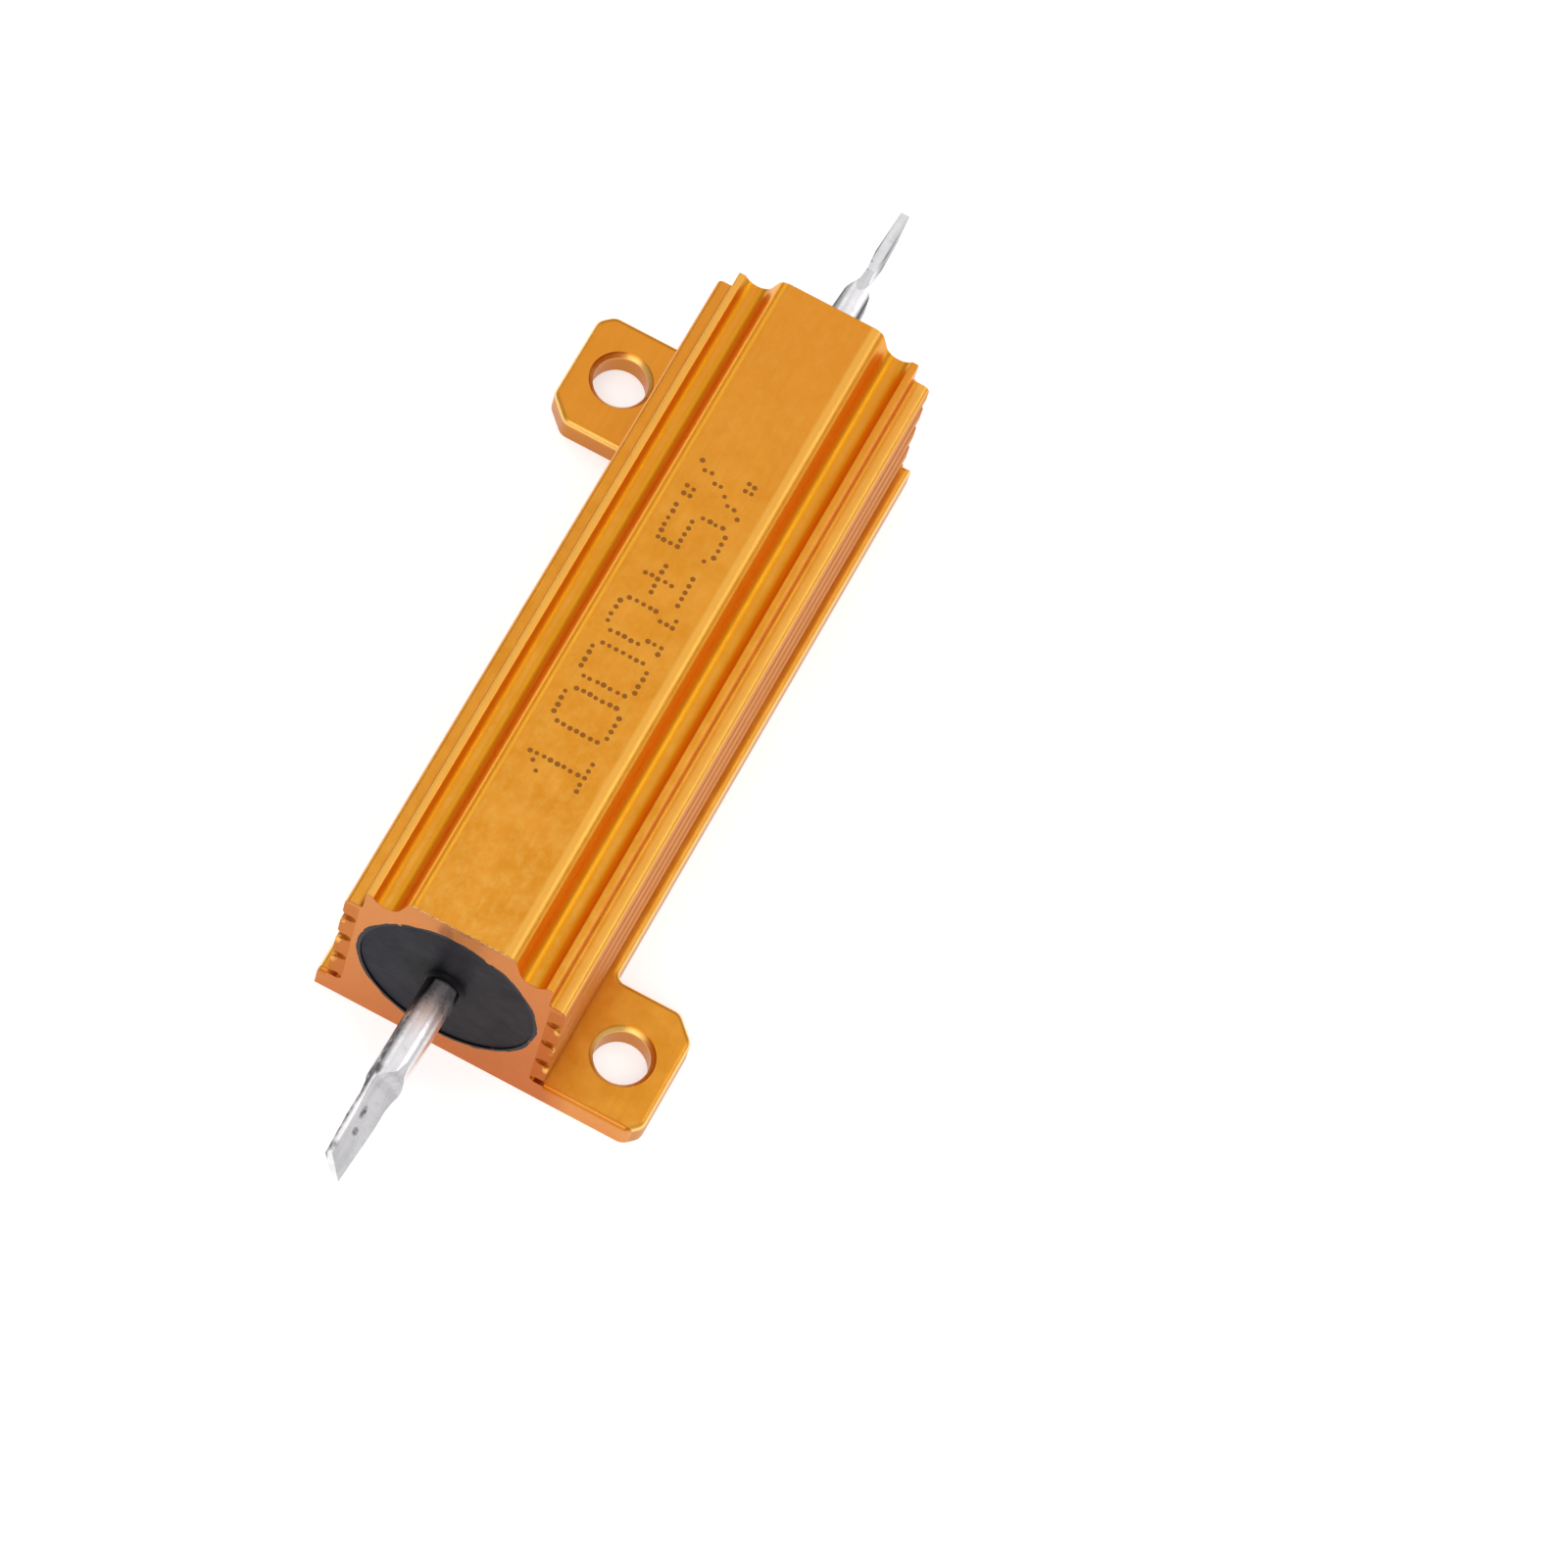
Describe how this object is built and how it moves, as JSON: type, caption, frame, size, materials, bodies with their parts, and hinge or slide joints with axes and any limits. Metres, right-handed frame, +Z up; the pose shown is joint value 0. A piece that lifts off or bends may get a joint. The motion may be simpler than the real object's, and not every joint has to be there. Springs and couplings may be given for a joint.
{
  "type": "aluminium housed resistor",
  "caption": "Wirewound power resistor in a finned gold-anodised aluminium housing, with two diagonal fixing ears and a flattened wire terminal at each end.",
  "frame": {"origin": "middle of the mounting face, under the middle of the housing", "axes": "+Y along the bore and the terminals, +Z up from the mounting face, +X across towards the ear at the -Y end"},
  "size_m": [0.0282, 0.0773, 0.0155],
  "materials": {
    "gold_anodised_aluminium": "satin gold anodised",
    "black_resin": "semi-gloss cast resin",
    "tinned_wire": "bright tinned, with press marks",
    "white_ceramic": "unglazed",
    "resistance_alloy": "drawn ribbon",
    "plated_steel": "plated",
    "grey_filling": "matt cement"
  },
  "bodies": {
    "root": {"housing": "gold_anodised_aluminium", "front_seal": "black_resin", "rear_seal": "black_resin", "front_terminal": "tinned_wire", "rear_terminal": "tinned_wire", "ceramic_core": "white_ceramic", "resistance_wire": "resistance_alloy", "front_end_cap": "plated_steel", "rear_end_cap": "plated_steel", "filler": "grey_filling"}
  },
  "joints": []
}
